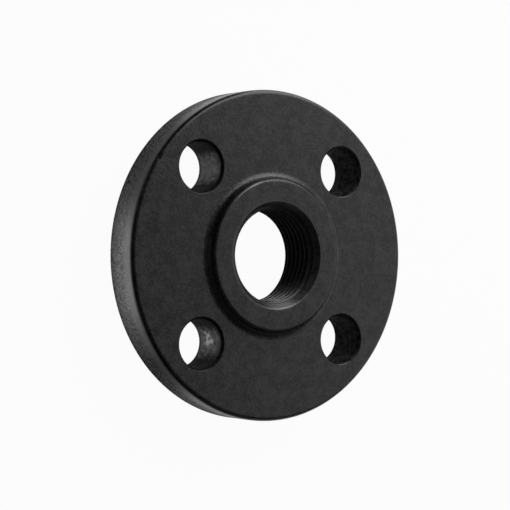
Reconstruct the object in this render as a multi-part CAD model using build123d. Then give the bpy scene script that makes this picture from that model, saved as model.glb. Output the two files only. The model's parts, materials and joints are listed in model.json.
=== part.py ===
from build123d import *
from math import radians, tan
import os

# Threaded pipe flange, nominal bore 25 (1 inch), pressure class 150, forged in one piece and then machined.
# Frame: the origin is on the bore's axis in the plane of the raised seating face.
# +Z runs along the bore towards the hub, and the four bolt holes lie midway between the X and Y axes.
# All lengths are in millimetres and angles in degrees.

# Flange disc, from its rear bolting plane to its front face
outside_diameter = 108.0
flange_thickness = 13.5
front_rim_round = 1.5
rear_rim_chamfer = 0.8

# Raised seating face, turned proud of the rear bolting plane
raised_face_diameter = 50.8
raised_face_height = 1.6

# Hub, drafted so that it leaves the forging die, with a blended root and a rounded lip
hub_face_diameter = 49.4
hub_standoff = 2.4
hub_draft = 22.0
hub_lip_round = 1.2
hub_root_round = 2.2

# Bore, at the crests of a 1 inch parallel pipe thread, with a countersink at each end
thread_minor_diameter = 30.291
mouth_countersink_depth = 2.45
rear_countersink_depth = 0.95
countersink_half_angle = 45.0

# Bolt holes, drilled through the disc, with their front edges broken
bolt_circle_diameter = 79.4
bolt_hole_diameter = 16.0
bolt_hole_count = 4
bolt_hole_edge_break = 0.7


def flange_section():
    """Half section of the flange in the XZ plane, as corners that each have their own round."""
    rear_plane = raised_face_height
    front_face = rear_plane + flange_thickness
    hub_face = front_face + hub_standoff

    outer_radius = outside_diameter / 2
    raised_face_radius = raised_face_diameter / 2
    hub_face_radius = hub_face_diameter / 2
    hub_root_radius = hub_face_radius + hub_standoff * tan(radians(hub_draft))

    bore_radius = thread_minor_diameter / 2
    mouth_radius = bore_radius + mouth_countersink_depth * tan(radians(countersink_half_angle))
    rear_radius = bore_radius + rear_countersink_depth * tan(radians(countersink_half_angle))

    # Each corner is (radius, height, round), from the rear countersink round the outside to the bore.
    corners = [
        (rear_radius, 0, 0),
        (raised_face_radius, 0, 0),
        (raised_face_radius, rear_plane, 0),
        (outer_radius - rear_rim_chamfer, rear_plane, 0),
        (outer_radius, rear_plane + rear_rim_chamfer, 0),
        (outer_radius, front_face, front_rim_round),
        (hub_root_radius, front_face, hub_root_round),
        (hub_face_radius, hub_face, hub_lip_round),
        (mouth_radius, hub_face, 0),
        (bore_radius, hub_face - mouth_countersink_depth, 0),
        (bore_radius, rear_countersink_depth, 0),
    ]
    points = [(radius, height) for radius, height, _ in corners]
    rounds = [corner_round for _, _, corner_round in corners]
    with BuildSketch(Plane.XZ) as section:
        with BuildLine():
            FilletPolyline(*points, radius=rounds, close=True)
        make_face()
    return section.sketch


def threaded_flange():
    """The section turned about the bore's axis, then drilled, with the front edges of the holes broken."""
    first_hole_angle = 180 / bolt_hole_count
    disc_middle = raised_face_height + flange_thickness / 2
    with BuildPart() as flange:
        add(flange_section())
        revolve(axis=Axis.Z)
        with Locations((0, 0, disc_middle)):
            with PolarLocations(bolt_circle_diameter / 2, bolt_hole_count, start_angle=first_hole_angle):
                Cylinder(bolt_hole_diameter / 2, flange_thickness, mode=Mode.SUBTRACT)
        hole_edges = flange.edges(Select.LAST).filter_by(GeomType.CIRCLE)
        front_hole_edges = hole_edges.group_by(Axis.Z)[-1]
        chamfer(front_hole_edges, length=bolt_hole_edge_break)
    return flange.part


os.makedirs("parts", exist_ok=True)
export_step(threaded_flange(), "parts/threaded_flange.step")
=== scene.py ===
import bmesh
import bpy
import json
import math
import numpy as np
from mathutils import Matrix, Vector


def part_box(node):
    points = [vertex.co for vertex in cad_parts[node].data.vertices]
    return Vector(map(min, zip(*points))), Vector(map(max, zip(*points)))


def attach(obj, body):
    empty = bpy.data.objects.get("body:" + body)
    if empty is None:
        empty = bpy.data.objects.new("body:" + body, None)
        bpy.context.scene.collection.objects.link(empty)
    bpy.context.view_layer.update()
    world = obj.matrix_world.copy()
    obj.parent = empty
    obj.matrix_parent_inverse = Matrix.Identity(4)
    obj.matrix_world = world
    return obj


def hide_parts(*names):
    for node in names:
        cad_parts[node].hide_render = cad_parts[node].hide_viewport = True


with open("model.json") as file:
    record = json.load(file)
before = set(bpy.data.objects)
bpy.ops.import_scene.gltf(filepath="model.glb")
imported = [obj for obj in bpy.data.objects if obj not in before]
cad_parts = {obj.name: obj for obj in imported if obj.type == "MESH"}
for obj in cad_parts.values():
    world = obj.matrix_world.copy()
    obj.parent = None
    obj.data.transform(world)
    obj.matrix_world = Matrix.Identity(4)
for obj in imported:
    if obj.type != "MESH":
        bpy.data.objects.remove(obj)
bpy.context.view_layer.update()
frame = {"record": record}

# The disc's rim.
# A forged steel disc with its edge turned: a chamfer behind, a plain band, and a full round in front.
# Each surface of the flange is a grid of points. Its rows run out from the bore's back, up the rim and in.
mm = 0.001
mounts = {mount["name"]: mount for mount in frame["record"]["mounts"]}
outer_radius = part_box("threaded_flange")[1].x
hub_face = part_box("threaded_flange")[1].z
hub_standoff = 2.4 * mm
rear_plane = mounts["flange_bolts"]["pos_m"][2]
front_face = hub_face - hub_standoff
front_round = 1.5 * mm
rear_chamfer = 0.8 * mm
turned_edge = 0.12 * mm
columns = 360
turn = np.linspace(0, 2 * math.pi, columns + 1)


def rounded_outline(corners):
    """Outline through corners of (radius, height, round, steps). A round is an arc tangent to both sides of
    its corner: it starts and ends round / tan(half) away, and its centre is round / sin(half) along the
    bisector, where half is half of the corner's inner angle."""
    places = np.array([corner[:2] for corner in corners])
    points = [places[:1]]
    for before, place, after, corner in zip(places, places[1:], places[2:], corners[1:]):
        inward = (before - place) / np.linalg.norm(before - place)
        onward = (after - place) / np.linalg.norm(after - place)
        half = math.acos(np.clip(inward @ onward, -1, 1)) / 2
        bisector = (inward + onward) / np.linalg.norm(inward + onward)
        centre = place + bisector * corner[2] / math.sin(half)
        start = place + inward * corner[2] / math.tan(half) - centre
        end = place + onward * corner[2] / math.tan(half) - centre
        swept = math.pi - 2 * half
        share = np.linspace(0, 1, corner[3] + 1)[:, None]
        arc = (np.sin((1 - share) * swept) * start + np.sin(share * swept) * end) / math.sin(swept)
        points.append(centre + arc)
    return np.concatenate(points + [places[-1:]])


def turned(outline):
    """The outline carried round the bore's axis: (r cos t, r sin t, z) for each point (r, z) and turn t."""
    radius, height = outline[:, :1], outline[:, 1:]
    return np.stack([radius * np.cos(turn), radius * np.sin(turn), height + 0 * turn], -1)


def even_steps(outline, longest):
    """The outline with its straight stretches divided, so that no step is longer than the longest."""
    points = [outline[:1]]
    for start, end in zip(outline, outline[1:]):
        parts = max(1, math.ceil(np.linalg.norm(end - start) / longest))
        points.append(start + (end - start) * np.linspace(0, 1, parts + 1)[1:, None])
    return np.concatenate(points)


rear_outer_radius = outer_radius - rear_chamfer - turned_edge
front_outer_radius = outer_radius - front_round
rim_outline = rounded_outline([
    (rear_outer_radius, rear_plane, 0, 0),
    (outer_radius - rear_chamfer, rear_plane, turned_edge, 2),
    (outer_radius, rear_plane + rear_chamfer, 3 * turned_edge, 3),
    (outer_radius, front_face, front_round, 12),
    (front_outer_radius, front_face, 0, 0),
])
grids = [turned(even_steps(rim_outline, longest=0.9 * mm))]

# The hub.
# A short boss round the bore, drafted so that it leaves the die, with a blended root and a rounded lip.
# Its flat end is faced on the lathe, and the mouth of the bore is countersunk.
hub_draft = math.radians(22)
hub_face_radius = 24.55 * mm
hub_root_radius = hub_face_radius + hub_standoff * math.tan(hub_draft)
hub_root_round = 2.8 * mm
hub_lip_round = 0.9 * mm
thread_crest_radius = mounts["pipe_thread"]["dims"]["r_mm"] * mm
mouth_countersink = 2.45 * mm
mouth_radius = thread_crest_radius + mouth_countersink
mouth_edge = 0.25 * mm
root_reach = hub_root_round * math.tan((math.pi / 2 - hub_draft) / 2)
front_inner_radius = hub_root_radius + root_reach
bore_top = hub_face - 2 * mouth_edge
hub_outline = rounded_outline([
    (front_inner_radius, front_face, 0, 0),
    (hub_root_radius, front_face, hub_root_round, 9),
    (hub_face_radius, hub_face, hub_lip_round, 8),
    (mouth_radius, hub_face, mouth_edge, 3),
    (mouth_radius - 2 * mouth_edge, bore_top, 0, 0),
])
grids.append(turned(even_steps(hub_outline[1:], longest=1.2 * mm)))

# The raised seating face.
# The gasket seats on it. It is turned proud of the rear bolting plane, and the flange lies on it.
raised_radius = 25.4 * mm
rear_inner_radius = raised_radius + 3 * turned_edge
rear_countersink = 0.95 * mm
rear_mouth_radius = thread_crest_radius + rear_countersink
bore_bottom = 2 * turned_edge
raised_outline = rounded_outline([
    (rear_mouth_radius - bore_bottom, bore_bottom, 0, 0),
    (rear_mouth_radius, 0, turned_edge, 2),
    (raised_radius, 0, turned_edge, 2),
    (raised_radius, rear_plane, 2 * turned_edge, 2),
    (rear_inner_radius, rear_plane, 0, 0),
])
grids.append(turned(even_steps(raised_outline, longest=1.6 * mm)))

# The drilled quarters of the disc.
# Four bolt holes go through the disc, half way between the X and Y axes, with their front edges broken.
# Each quarter is one grid: from its front outline to its hole, down the hole and out to its rear outline.
bolts = mounts["flange_bolts"]["dims"]
hole_centre_radius = bolts["pcd_mm"] / 2 * mm
hole_radius = bolts["hole_r_mm"] * mm
hole_edge_break = 0.7 * mm
outline_shares = np.array([1, 0.985, 0.85, 0.55, 0.25, 0.06, 0.01])[:, None, None]
side_steps = 12
quarter_columns = columns // 4


def quarter_outline(start, inner_radius, outer_radius):
    """The outline of a quarter ring, anticlockwise: along the outer arc, in along a side, back along the
    inner arc, and out again. Each arc has equal steps of angle, and each side equal steps of radius."""
    arc = np.linspace(start, start + math.pi / 2, quarter_columns, endpoint=False)
    side = np.linspace(outer_radius, inner_radius, side_steps, endpoint=False)
    back = np.linspace(inner_radius, outer_radius, side_steps, endpoint=False)
    angle = np.concatenate([arc, np.full(side_steps, arc[0] + math.pi / 2),
                            arc[0] + arc[0] + math.pi / 2 - arc, np.full(side_steps, arc[0])])
    radius = np.concatenate([np.full(quarter_columns, outer_radius), side,
                             np.full(quarter_columns, inner_radius), back])
    loop = np.stack([radius * np.cos(angle), radius * np.sin(angle)], -1)
    return np.concatenate([loop, loop[:1]])


def drilled_quarter(start):
    """Rows of the quarter's grid. On a face, each is s times the outline plus 1 - s times the hole's
    circle, for the shares s. In the hole, each is a plain circle."""
    middle = start + math.pi / 4
    centre = hole_centre_radius * np.array([math.cos(middle), math.sin(middle)])
    loop = 2 * (quarter_columns + side_steps)
    round_hole = middle + (np.arange(loop + 1) - quarter_columns / 2) * 2 * math.pi / loop
    circle = np.stack([np.cos(round_hole), np.sin(round_hole)], -1)
    wall = even_steps(rounded_outline([
        (hole_radius + hole_edge_break + turned_edge, front_face, 0, 0),
        (hole_radius + hole_edge_break, front_face, turned_edge, 2),
        (hole_radius, front_face - hole_edge_break, 2 * turned_edge, 2),
        (hole_radius, rear_plane, turned_edge, 2),
        (hole_radius + turned_edge, rear_plane, 0, 0),
    ])[1:], longest=4 * mm)
    front_ring = outline_shares * quarter_outline(start, front_inner_radius, front_outer_radius)
    front_ring = front_ring + (1 - outline_shares) * (centre + wall[0, 0] * circle)
    rear_ring = outline_shares[::-1] * quarter_outline(start, rear_inner_radius, rear_outer_radius)
    rear_ring = rear_ring + (1 - outline_shares[::-1]) * (centre + wall[-1, 0] * circle)
    tube = centre + wall[:, :1, None] * circle
    flat = np.concatenate([front_ring, tube, rear_ring])
    height = np.concatenate([np.full(len(outline_shares), front_face), wall[:, 1],
                             np.full(len(outline_shares), rear_plane)])
    return np.concatenate([flat, np.repeat(height[:, None, None], loop + 1, 1)], -1)


grids += [drilled_quarter(quarter * math.pi / 2) for quarter in range(4)]

# The threaded bore.
# A 1 inch parallel pipe thread of the rounded 55 degree form, cut right through, countersunk at each end.
# Rows of the grid follow the helix, so that each row keeps its place on the thread's form.
inch = 25.4 * mm
turns_an_inch = 11
thread_pitch = inch / turns_an_inch
form_angle = math.radians(55)
flank = form_angle / 2
# The form gives its depth, and the round of its crests and roots, as shares of the pitch.
thread_depth = 0.640327 * thread_pitch
thread_round = 0.137329 * thread_pitch
rows_a_pitch = 12


def thread_form(phase):
    """Radius of the bore at a phase in turns from a crest: an arc at the crest, a straight flank, and an arc
    at the root. Along the axis an arc reaches its round times cos(flank), and from there the radius grows by
    1 / tan(flank) of the way along."""
    along = np.abs((phase + 0.5) % 1 - 0.5) * thread_pitch
    to_root = thread_pitch / 2 - along
    reach = thread_round * math.cos(flank)
    crest = thread_round - np.sqrt(np.clip(thread_round ** 2 - along ** 2, 0, None))
    root = thread_depth - thread_round + np.sqrt(np.clip(thread_round ** 2 - to_root ** 2, 0, None))
    slope = thread_round * (1 - math.sin(flank)) + (along - reach) / math.tan(flank)
    cut = np.where(along < reach, crest, np.where(to_root < reach, root, slope))
    return thread_crest_radius + cut


turns = (bore_top - bore_bottom) / thread_pitch
row_phase = np.arange(math.ceil((turns + 1) * rows_a_pitch) + 1)[::-1, None] / rows_a_pitch - 1
turn_share = turn / (2 * math.pi)
bore_height = np.clip(bore_bottom + thread_pitch * (row_phase + turn_share), bore_bottom, bore_top)
helix_phase = (bore_height - bore_bottom) / thread_pitch - turn_share
mouth_cone = mouth_radius - (hub_face - bore_height)
rear_cone = rear_mouth_radius - bore_height
bore_radius = np.maximum(thread_form(helix_phase), np.maximum(mouth_cone, rear_cone))
grids.append(np.stack([bore_radius * np.cos(turn), bore_radius * np.sin(turn), bore_height], -1))


# The flange, joined into one closed skin.
# The real one is a single forging, so its surfaces share their edges.
# A knock has left a nick in its front corner: a dent of depth times exp(-(distance / width) squared).
def skin_faces(rows, width, first):
    """Four-sided faces between neighbouring rows and columns of a grid, wound so that they look out of the
    steel. The corner of row i and column j is point first + i width + j."""
    index = first + np.arange(rows * width).reshape(rows, width)
    return np.stack([index[:-1, :-1], index[:-1, 1:], index[1:, 1:], index[1:, :-1]], -1).reshape(-1, 4)


firsts = np.cumsum([0] + [grid.shape[0] * grid.shape[1] for grid in grids])
points = np.concatenate([grid.reshape(-1, 3) for grid in grids])
nick_turn = math.radians(145)
nick_slope = math.radians(56)
nick_width = 0.6 * mm
nick_depth = 0.55 * mm
outward = np.array([math.cos(nick_turn) * math.cos(nick_slope), math.sin(nick_turn) * math.cos(nick_slope),
                    math.sin(nick_slope)])
round_centre = np.array([front_outer_radius * math.cos(nick_turn), front_outer_radius * math.sin(nick_turn),
                         front_face - front_round])
nick_place = round_centre + front_round * outward
nick_reach = np.linalg.norm(points - nick_place, axis=1, keepdims=True) / nick_width
points -= nick_depth * np.exp(-nick_reach ** 2) * outward
faces = np.concatenate([skin_faces(*grid.shape[:2], first) for grid, first in zip(grids, firsts)])
skin = bpy.data.meshes.new("flange_skin")
skin.from_pydata(points, [], faces.tolist())
welder = bmesh.new()
welder.from_mesh(skin)
bmesh.ops.remove_doubles(welder, verts=welder.verts, dist=0.001 * mm)
welder.to_mesh(skin)
welder.free()
skin.polygons.foreach_set("use_smooth", np.ones(len(skin.polygons), bool))
flange = bpy.data.objects.new("flange_skin", skin)
bpy.context.scene.collection.objects.link(flange)

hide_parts("threaded_flange")
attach(flange, "root")


# The black coat.
# A thin black protective paint over blasted steel: satin, nearly black, and showing the steel's fine grain.
# Handling has left it glossy in streaks on the rim and dusty in the drilled holes. Dark matte marks on its
# edges, hub and rim are painted shade, and a pale band on the hub is painted light.
class Shade:
    """A socket of a node tree. An expression on values adds its Math nodes, and node() adds any other."""

    def __init__(self, socket):
        self.socket = socket

    @staticmethod
    def node(tree, kind, settings, sockets, output=0):
        """A new node: its settings first, then the value or the link of each named or numbered socket."""
        made = tree.nodes.new(kind)
        for name, value in settings.items():
            setattr(made, name, value)
        for name, value in sockets.items():
            if isinstance(value, Shade):
                tree.links.new(value.socket, made.inputs[name])
            else:
                made.inputs[name].default_value = value
        return Shade(made.outputs[output]) if made.outputs else made

    def maths(self, operation, first, second=0.0):
        """A Math node of this operation, in the tree that holds this socket."""
        tree = self.socket.id_data
        return Shade.node(tree, "ShaderNodeMath", {"operation": operation}, {0: first, 1: second})

    def __add__(self, other):
        return self.maths("ADD", self, other)

    def __radd__(self, other):
        return self.maths("ADD", other, self)

    def __sub__(self, other):
        return self.maths("SUBTRACT", self, other)

    def __rsub__(self, other):
        return self.maths("SUBTRACT", other, self)

    def __mul__(self, other):
        return self.maths("MULTIPLY", self, other)

    def __rmul__(self, other):
        return self.maths("MULTIPLY", other, self)

    def __truediv__(self, other):
        return self.maths("DIVIDE", self, other)

    def __pow__(self, other):
        return self.maths("POWER", self, other)

    def __neg__(self):
        return self.maths("MULTIPLY", self, -1.0)

    def __abs__(self):
        return self.maths("ABSOLUTE", self)

    def sine(self):
        return self.maths("SINE", self)


def emptied_tree(owner):
    """The node tree of a material or a world, with its nodes cleared."""
    owner.use_nodes = True
    owner.node_tree.nodes.clear()
    return owner.node_tree


def coordinates(vector):
    """The X, Y and Z of a vector value."""
    apart = Shade.node(vector.socket.id_data, "ShaderNodeSeparateXYZ", {}, {"Vector": vector})
    return [Shade(output) for output in apart.socket.node.outputs]


def rise(value, low, high):
    """A smooth step: with s as the share of the way from low to high, 3 s squared - 2 s cubed."""
    return Shade.node(value.socket.id_data, "ShaderNodeMapRange", {"interpolation_type": "SMOOTHSTEP"},
                      {"Value": value, "From Min": low, "From Max": high})


def within(value, low, high, soft):
    """A smooth hump: 1 between low and high, falling to 0 a soft margin outside them."""
    return rise(value, low - soft, low) * (1 - rise(value, high, high + soft))


def colour_between(share, first, second):
    """A mix of two colours: 1 - share of the first, plus share of the second."""
    return Shade.node(share.socket.id_data, "ShaderNodeMix", {"data_type": "RGBA"},
                      {"Factor": share, 6: first, 7: second}, 2)


coat = bpy.data.materials.new("black_coat")
skin.materials.append(coat)
tree = emptied_tree(coat)
position = Shade.node(tree, "ShaderNodeTexCoord", {}, {}, "Object")
x, y, z = coordinates(position)
radius = (x * x + y * y) ** 0.5
hole_offset = hole_centre_radius / math.sqrt(2)
from_hole = ((abs(x) - hole_offset) ** 2 + (abs(y) - hole_offset) ** 2) ** 0.5


def facing(degrees):
    """How squarely a point lies at this angle round the bore: the cosine of the angle between the two."""
    side = math.radians(degrees)
    return (x * math.cos(side) + y * math.sin(side)) / radius


def near(place, reach):
    """1 at a place, falling evenly to 0 at the reach: 1 - distance / reach."""
    gap = Shade.node(tree, "ShaderNodeVectorMath", {"operation": "DISTANCE"}, {0: position, 1: place}, 1)
    return 1 - gap / reach


def grain(size, detail=2.0, stretch=(1, 1, 1)):
    """Noise from 0 to 1 whose spots are about this size, times the stretch along each axis."""
    squeezed = Shade.node(tree, "ShaderNodeMapping", {},
                          {"Vector": position, "Scale": [1 / (size * share) for share in stretch]})
    return Shade.node(tree, "ShaderNodeTexNoise", {},
                      {"Vector": squeezed, "Scale": 1.0, "Detail": detail, "Roughness": 0.6})


def rings(spacing):
    """Rings that a tool leaves round the bore: the sine of the radius, with a full wave in each spacing."""
    return (radius * (2 * math.pi / spacing)).sine()


fine_grain = grain(0.5 * mm, 3.0)
coarse_grain = grain(1.2 * mm)
cloud = grain(4 * mm)
mottle = grain(1.6 * mm, 3.0)

# The rim is glossy in streaks, on its -X side and on the upper half of its two Y ends.
# It is dull in spots and has one dark speck; along its foot and at 135 and 225 degrees round it, a dark
# matte finish is painted shade.
on_rim = rise(radius, outer_radius - 0.8 * mm, outer_radius - 0.1 * mm)
streaks = grain(1.1 * mm, 3.0, (7, 7, 0.7))
side_gloss = rise(facing(187.5), 0.84, 1.0) * rise(z, 1.5 * mm, 11 * mm)
end_gloss = rise(abs(y), 38 * mm, 46 * mm) * rise(z, 6 * mm, 11 * mm)
rim_gloss = on_rim * (side_gloss + end_gloss) * (0.35 + 1.5 * streaks)
painted_side_shade = 0.3 * rise(facing(135), 0.93, 1.0) + 0.25 * rise(facing(225), 0.975, 1.0)
spot_dull = 0.45 * rise(grain(0.85 * mm, 3.0), 0.4, 0.6) * (1 - 0.8 * rise(z, 9 * mm, 12 * mm))
painted_foot_shade = 0.3 * (1 - rise(z, 2 * mm, 5 * mm))
speck_turn = math.radians(154.74)
speck_place = (outer_radius * math.cos(speck_turn), outer_radius * math.sin(speck_turn), 5 * mm)
speck = rise(near(speck_place, 0.7 * mm), 0.2, 0.6)
rim_spots_and_shade = on_rim * (painted_side_shade + spot_dull + painted_foot_shade + speck)

# On the -X side a dark matte line of painted shade follows the front corner at both Y ends, and a second
# lies inside it between them. The nick is painted dark too, as painted shade in its dent.
from_rim = outer_radius - radius
line_height = front_face - 1.0 * mm
corner_shade_line = within(from_rim, 0.2 * mm, 0.6 * mm, 0.12 * mm) * rise(z, line_height, line_height + 0.2 * mm)
corner_shade_line = corner_shade_line * (1 - rise(x, -16 * mm, -6 * mm))
corner_shade_line = corner_shade_line * (0.85 * rise(y, 20 * mm, 35 * mm) + 0.6 * rise(-y, 20 * mm, 35 * mm))
side_shade_line = 0.6 * within(from_rim, 0.4 * mm, 1.1 * mm, 0.15 * mm) * rise(facing(187.5), 0.8, 0.9)
side_shade_line = side_shade_line * rise(z, line_height + 0.2 * mm, line_height + 0.4 * mm)
nick_shade = 0.9 * rise(near(nick_place, 0.9 * mm), 0.1, 0.5)
front_painted_shade = corner_shade_line + side_shade_line + nick_shade

# The hub's flank is painted dark and matte half way down, as painted shade, darkest at 150 degrees round it.
# Towards 225 degrees a pale band of painted light lies on the flank, and its root is painted with shade. Its
# lip is wiped glossy at 120 degrees.
past_hub = radius - hub_face_radius
on_flank = rise(z, front_face + 0.1 * mm, front_face + 0.6 * mm)
painted_flank_shade = 0.6 * within(past_hub, 0.35 * mm, 1.05 * mm, 0.25 * mm)
painted_deep_flank_shade = 0.5 * within(past_hub, -0.05 * mm, 1.65 * mm, 0.3 * mm) * rise(facing(150), 0.87, 0.97)
painted_flank_light = within(past_hub, 0.85 * mm, 1.25 * mm, 0.3 * mm) * on_flank * rise(facing(225), 0.4, 0.85)
painted_root_shade = 0.5 * within(past_hub, 1.45 * mm, 2.65 * mm, 0.6 * mm) * rise(facing(225), 0.0, 0.6)
hub_painted_shade = on_flank * (painted_flank_shade + painted_deep_flank_shade) + painted_root_shade
hub_lip = within(past_hub, -0.55 * mm, 0.15 * mm, 0.15 * mm)
hub_lip = hub_lip * rise(z, hub_face - 0.7 * mm, hub_face - 0.3 * mm)
lip_gloss = hub_lip * rise(facing(120), 0.95, 0.99) * (0.5 + mottle)

# The bolt holes are mottled like dust and painted dark and matte, as painted shade in the recesses, and
# their edges are painted dark as painted shade. On the +X side the dark is thinner, with paler spots. On the
# -X holes the wall that looks to -X is painted lighter and glossier, as painted light, and the -Y one of
# them is worn there to bare steel.
in_hole = 1 - rise(from_hole, hole_radius + 0.1 * mm, hole_radius + 0.4 * mm)
shaded_hole_edge = within(from_hole, hole_radius + 0.05 * mm, hole_radius + 0.65 * mm, 0.1 * mm)
shaded_hole_edge = shaded_hole_edge * rise(z, front_face - 0.8 * mm, front_face - 0.6 * mm)
right_holes = rise(x, -5 * mm, 5 * mm)
left_holes = 1 - rise(x, -15 * mm, -10 * mm)
wall_facing = (x + hole_offset) / hole_radius
painted_light_wall = in_hole * left_holes * rise(wall_facing + (mottle - 0.5) * 0.45, 0.68, 1.08)
painted_light_wall = painted_light_wall * rise(z, 1 * mm, 4 * mm) * (1 - rise(z, 12.5 * mm, 15.5 * mm))
worn_place = (hole_radius - hole_offset, 0.3 * mm - hole_offset, 7 * mm)
bare = in_hole * rise(near(worn_place, 6.2 * mm) + (grain(1.5 * mm, 3.0) - 0.5) * 2.0, 0.38, 0.9)
hole_dust_and_shade = in_hole * (1 - painted_light_wall) * (0.7 + 0.3 * mottle - 0.7 * right_holes * rise(mottle, 0.3, 0.7))
hole_dust_and_shade = hole_dust_and_shade + shaded_hole_edge * (0.7 - 0.2 * right_holes)

# The bore's mouth is polished by handling, and so are the threads on its -Y side.
mouth_gloss = 0.7 * within(radius, mouth_radius - 0.3 * mm, mouth_radius + 0.2 * mm, 0.25 * mm)
mouth_gloss = mouth_gloss * rise(z, hub_face - 1 * mm, hub_face - 0.5 * mm)
in_bore = 1 - rise(radius, mouth_radius - 0.3 * mm, mouth_radius)
bore_gloss = in_bore * rise(-y, 12 * mm, 15 * mm) * (1 - rise(z, 11 * mm, 13 * mm)) * (0.5 + 0.8 * mottle)

# The grain is about a tenth of a millimetre high, and less on the plain front face.
# The tool has left fine rings on the hub's end and deeper ones on the seating face.
hub_root = within(past_hub, 0.85 * mm, 3.45 * mm, 0.6 * mm)
on_hub_end = rise(z, hub_face - 0.06 * mm, hub_face - 0.01 * mm)
on_seat = 1 - rise(z, 0.01 * mm, 0.05 * mm)
relief = (fine_grain - 0.5) * (0.045 + 0.05 * on_rim + 0.05 * on_hub_end) * mm
relief = relief + (coarse_grain - 0.5) * (0.03 + 0.1 * hub_root + 0.07 * in_hole + 0.05 * on_rim) * mm
relief = relief + rings(0.45 * mm) * on_hub_end * 0.002 * mm + rings(0.8 * mm) * on_seat * 0.02 * mm
bump = Shade.node(tree, "ShaderNodeBump", {}, {"Height": relief, "Distance": 1.0, "Strength": 1.0})

# The paint is satin, with a second gloss where it is wiped. The dark matte finish has no shine at all: it is
# dust and painted shade, with a pale band of painted light on the hub.
thick_paint = (0.005, 0.005, 0.0052, 1)
thin_paint = (0.040, 0.040, 0.0405, 1)
bare_steel = (0.38, 0.375, 0.37, 1)
dark_dust_and_shade = (0.007, 0.007, 0.0073, 1)
pale_dust_and_light = (0.05, 0.05, 0.05, 1)
thinness = rise(cloud * 0.3 + fine_grain * 0.4 + coarse_grain * 0.3, 0.4, 0.6)
paint_colour = colour_between(bare, colour_between(thinness, thick_paint, thin_paint), bare_steel)
paint = Shade.node(tree, "ShaderNodeBsdfPrincipled", {},
                   {"Base Color": paint_colour, "Metallic": bare, "Roughness": 0.28 + 0.1 * fine_grain,
                    "Coat Weight": rim_gloss + 1.2 * painted_light_wall * mottle + mouth_gloss + lip_gloss + bore_gloss,
                    "Coat Roughness": 0.3, "Normal": bump})
paleness = rise(mottle, 0.4, 0.6) * (0.3 + 0.7 * right_holes) + 1.5 * painted_flank_light
matte_dust_and_shade = Shade.node(tree, "ShaderNodeBsdfDiffuse", {},
                  {"Color": colour_between(paleness, dark_dust_and_shade, pale_dust_and_light), "Normal": bump})
dust_and_painted_shade = hole_dust_and_shade + rim_spots_and_shade + front_painted_shade + hub_painted_shade
finish = Shade.node(tree, "ShaderNodeMixShader", {}, {"Fac": dust_and_painted_shade * (1 - bare), 1: paint, 2: matte_dust_and_shade})
Shade.node(tree, "ShaderNodeOutputMaterial", {}, {"Surface": finish})

# The studio's floor.
# A white floor that reads white to the camera, and keeps the flange's shadow in its painted share.
# In reflections its white is painted light and shade: a painted shadow under the flange, where the holes
# look down on it, lighter towards -X, a painted strip of light along X beside it that fades along Y, and a
# painted fade far out.
floor_reach = 4.0
floor_gap = 0.02 * mm
floor_mesh = bpy.data.meshes.new("floor")
floor_corners = [(-1, -1), (1, -1), (1, 1), (-1, 1)]
floor_mesh.from_pydata([(floor_reach * across, floor_reach * along, -floor_gap)
                        for across, along in floor_corners], [], [range(4)])
floor = bpy.data.objects.new("floor", floor_mesh)
bpy.context.scene.collection.objects.link(floor)
floor_finish = bpy.data.materials.new("white_floor")
floor_mesh.materials.append(floor_finish)


def ray_flags(tree):
    """Whether the ray comes from the camera or through glass, and whether it is a reflection."""
    rays = Shade.node(tree, "ShaderNodeLightPath", {}, {}).socket.node.outputs
    straight = Shade(rays["Is Camera Ray"]) + Shade(rays["Is Transmission Ray"])
    return straight, Shade(rays["Is Glossy Ray"])


tree = emptied_tree(floor_finish)
straight, mirrored = ray_flags(tree)
across, along, _ = coordinates(Shade.node(tree, "ShaderNodeTexCoord", {}, {}, "Object"))
from_axis = (across * across + along * along) ** 0.5
# Painted light and shade for reflections: a shadow under the flange, a strip of light beside it, and a fade
# far out.
under_flange = 1 - rise(from_axis, 46 * mm, 54 * mm)
painted_shadow_under = 0.14 + 0.42 * (1 - rise(across, -22 * mm, 0.0))
painted_far_fade = 1 - 0.85 * rise(from_axis, 90 * mm, 220 * mm)
painted_light_beside = 0.3 + 0.7 * (1 - rise(abs(along + 4 * mm), 10 * mm, 32 * mm))
painted_reflected_white = painted_far_fade * painted_light_beside * (1 - under_flange) + painted_shadow_under * under_flange
painted = Shade.node(tree, "ShaderNodeBsdfDiffuse", {}, {"Color": (0.85, 0.85, 0.85, 1)})
lit = Shade.node(tree, "ShaderNodeEmission", {}, {"Color": (1, 1, 1, 1), "Strength": 1.0})
white_share = 0.96 * straight + mirrored * painted_reflected_white
upper_side = Shade.node(tree, "ShaderNodeMixShader", {}, {"Fac": white_share, 1: painted, 2: lit})

# The floor's lower side is clear, so that the flange's back can be seen from below
lower_side = Shade.node(tree, "ShaderNodeBsdfTransparent", {}, {})
from_below = Shade.node(tree, "ShaderNodeNewGeometry", {}, {}, "Backfacing")
one_sided = Shade.node(tree, "ShaderNodeMixShader", {}, {"Fac": from_below, 1: upper_side, 2: lower_side})
Shade.node(tree, "ShaderNodeOutputMaterial", {}, {"Surface": one_sided})

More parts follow.
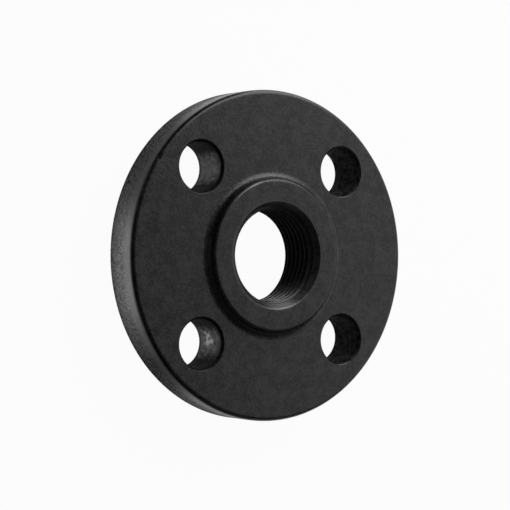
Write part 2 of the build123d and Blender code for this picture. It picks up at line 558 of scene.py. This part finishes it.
# The studio's air and lamps.
# The air is white to the camera. The room is dim, with a band of light low down, fainter towards -X, and a
# patch overhead. Two soft lamps light the flange from the +X side, the brighter one from the photo's top.
world = bpy.data.worlds.new("studio_air")
bpy.context.scene.world = world
tree = emptied_tree(world)
straight, _ = ray_flags(tree)
look_x, _, look_z = coordinates(Shade.node(tree, "ShaderNodeTexCoord", {}, {}, "Generated"))
band = (1 - rise(look_z, 0.2, 0.45)) * (1 - 0.8 * rise(-look_x, 0.5, 0.9))
room = 0.03 + 0.12 * band + 0.1 * rise(look_z, 0.93, 0.99)
air_white = room * (1 - straight) + 0.97 * straight
air = Shade.node(tree, "ShaderNodeBackground", {},
                 {"Color": colour_between(air_white, (0, 0, 0, 1), (1, 1, 1, 1)), "Strength": 1.0})
Shade.node(tree, "ShaderNodeOutputWorld", {}, {"Surface": air})


def softbox(name, azimuth, elevation, distance, width, height, strength):
    """A flat lamp of this width and height, at these angles round and above the flange, and facing it.
    Its power is strength times pi times its area, so that its face has this strength."""
    lamp = bpy.data.lights.new(name, "AREA")
    lamp.shape = "RECTANGLE"
    lamp.size = width
    lamp.size_y = height
    lamp.energy = strength * math.pi * width * height
    holder = bpy.data.objects.new(name, lamp)
    bpy.context.scene.collection.objects.link(holder)
    side, lift = math.radians(azimuth), math.radians(elevation)
    away = Vector((math.cos(lift) * math.cos(side), math.cos(lift) * math.sin(side), math.sin(lift)))
    facing_flange = away.to_track_quat("Z", "Y").to_matrix().to_4x4()
    holder.matrix_world = Matrix.Translation(away * distance) @ facing_flange
    holder.visible_camera = False


softbox("face_light", azimuth=0, elevation=35, distance=0.55, width=0.5, height=0.5, strength=0.72)
softbox("top_light", azimuth=57, elevation=31, distance=0.60, width=0.40, height=0.60, strength=3.4)

# The camera.
# It looks down on the flange at the photo's angle, with the photo's up along +Y.
# Its place and lens were solved from the outlines in the photo, 510 pixels wide.
camera_side_angle = math.radians(-35.55)
camera_rise_angle = math.radians(-0.26)
camera_distance = 0.5632
aim_right = 1.85 * mm
aim_up = 0.155 * mm
focal_length_pixels = 1695.5
photo_width_pixels = 510
back = Vector((math.sin(camera_side_angle) * math.cos(camera_rise_angle), math.sin(camera_rise_angle),
               math.cos(camera_side_angle) * math.cos(camera_rise_angle)))
right = Vector((0, 1, 0)).cross(back).normalized()
up = back.cross(right)
aim = right * aim_right + up * aim_up + Vector((0, 0, rear_plane))
camera_data = bpy.data.cameras.new("photo_camera")
camera_data.sensor_width = 36
camera_data.lens = focal_length_pixels / photo_width_pixels * camera_data.sensor_width
camera = bpy.data.objects.new("photo_camera", camera_data)
bpy.context.scene.collection.objects.link(camera)
camera_turn = Matrix((right, up, back)).transposed().to_4x4()
camera.matrix_world = Matrix.Translation(back * camera_distance + aim) @ camera_turn
bpy.context.scene.camera = camera
bpy.context.scene.view_settings.view_transform = "Standard"
